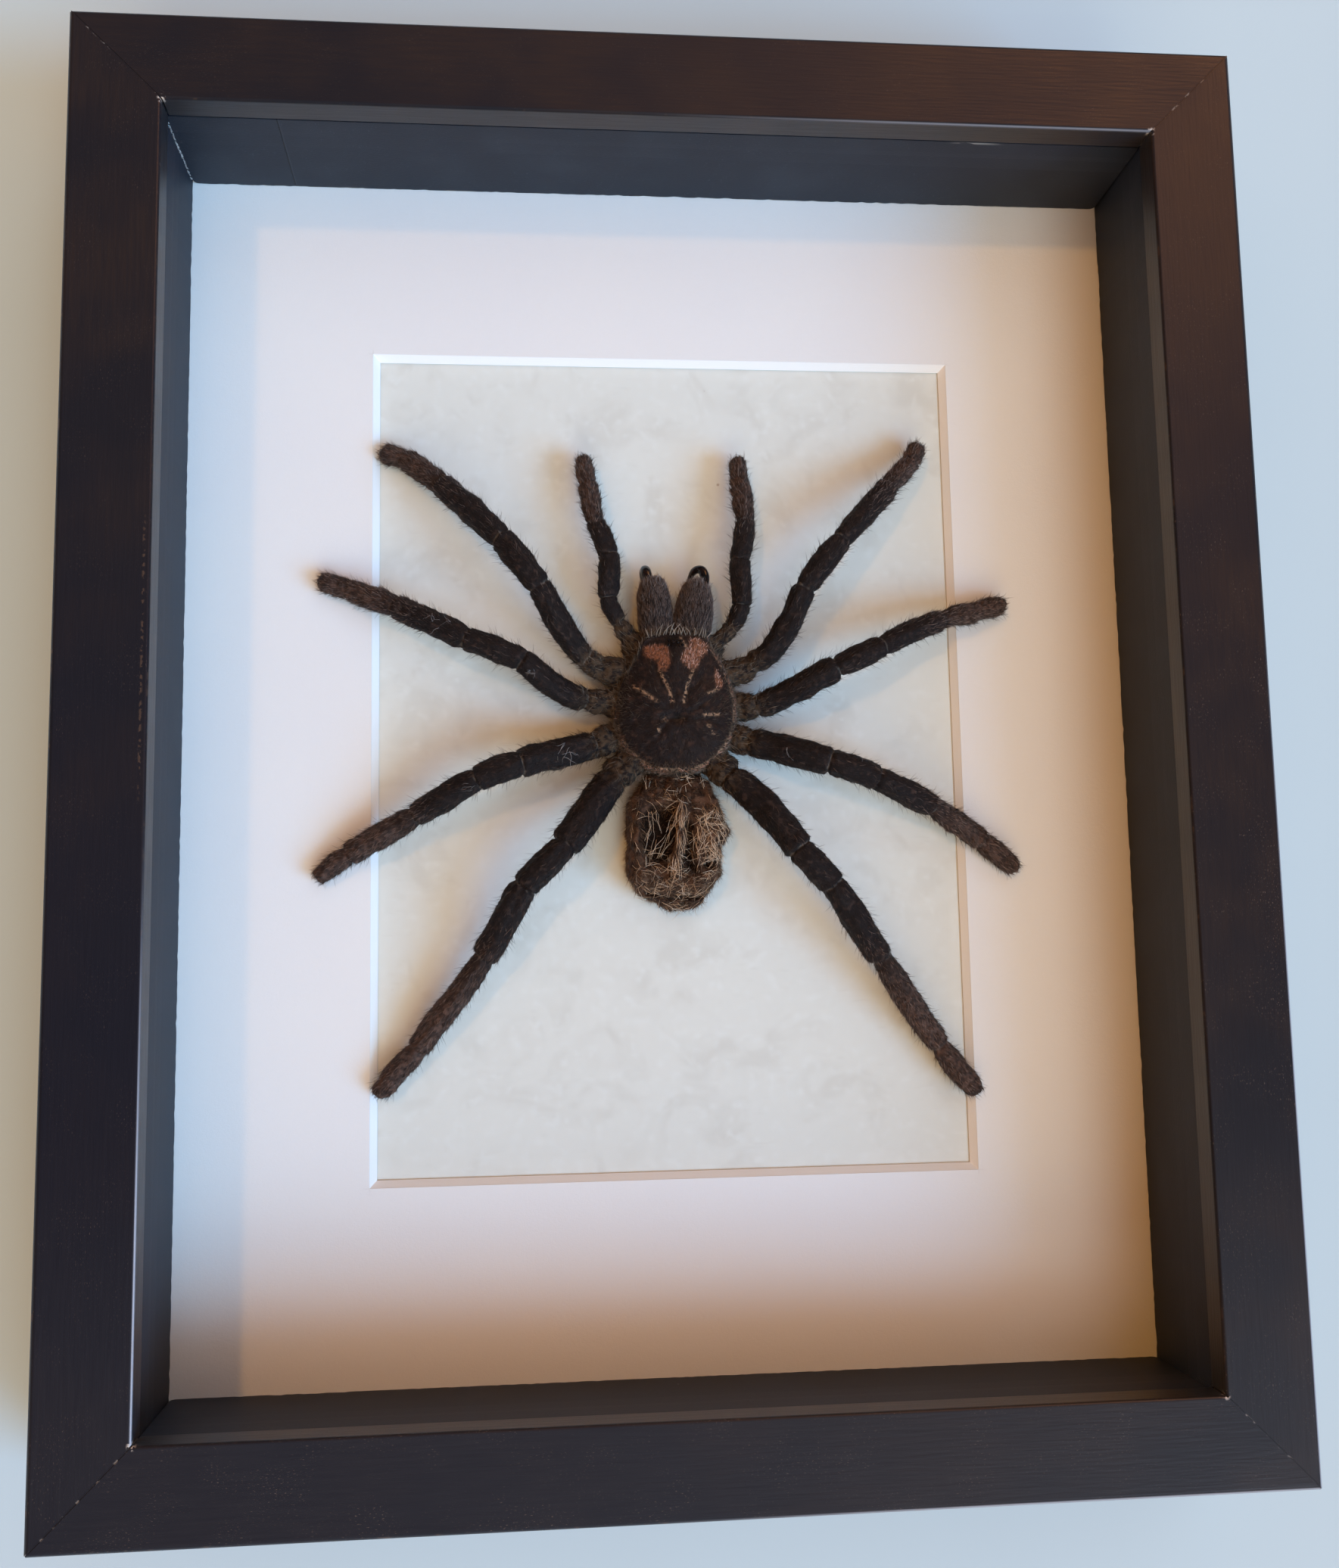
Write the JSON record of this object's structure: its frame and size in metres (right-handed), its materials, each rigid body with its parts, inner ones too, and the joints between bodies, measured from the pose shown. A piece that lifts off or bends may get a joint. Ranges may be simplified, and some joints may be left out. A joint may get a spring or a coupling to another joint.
{
  "type": "framed tarantula specimen",
  "caption": "Deep black box frame under glass that holds a dried, spread tarantula on mottled paper behind a white window mat.",
  "frame": {"origin": "centre of the frame's back, in the plane that it lies on", "axes": "+Z out of the glass, +X to the right of the picture, +Y to the top of the picture"},
  "size_m": [0.23, 0.2808, 0.045],
  "materials": {
    "frame_wood": "near-black brown stain, satin, fine pale grain dashes",
    "glass": "clear picture glass",
    "mat_board": "white, finely textured, matt",
    "backing_paper": "cream-grey mottled parchment, matt",
    "back_board": "brown hardboard, smooth face with a fine sheen",
    "spacer_board": "blue-black paper wrap, matt",
    "fittings": "zinc-plated steel, dull",
    "body_skin": "dried dark brown skin with orange and pale bristles",
    "abdomen_skin": "dried dark brown skin under long golden-brown hairs",
    "leg_skin": "near-black brown, velvety, thin pale joint rings",
    "fang": "glossy black"
  },
  "bodies": {
    "root": {"abdomen": "abdomen_skin", "back_board": "back_board", "backing_paper": "backing_paper", "chelicera_left": "leg_skin", "chelicera_right": "leg_skin", "fang_left": "fang", "fang_right": "fang", "glass_pane": "glass", "hanger_nail_left": "fittings", "hanger_nail_right": "fittings", "hanger_plate": "fittings", "leg_1_left": "leg_skin", "leg_1_right": "leg_skin", "leg_2_left": "leg_skin", "leg_2_right": "leg_skin", "leg_3_left": "leg_skin", "leg_3_right": "leg_skin", "leg_4_left": "leg_skin", "leg_4_right": "leg_skin", "mat_board": "mat_board", "pedipalp_left": "leg_skin", "pedipalp_right": "leg_skin", "prosoma": "body_skin", "rail_bottom": "frame_wood", "rail_left": "frame_wood", "rail_right": "frame_wood", "rail_top": "frame_wood", "spacer_bottom": "spacer_board", "spacer_left": "spacer_board", "spacer_right": "spacer_board", "spacer_top": "spacer_board", "tab_bottom_1": "fittings", "tab_bottom_2": "fittings", "tab_left_1": "fittings", "tab_left_2": "fittings", "tab_right_1": "fittings", "tab_right_2": "fittings", "tab_top_1": "fittings", "tab_top_2": "fittings"}
  },
  "joints": []
}
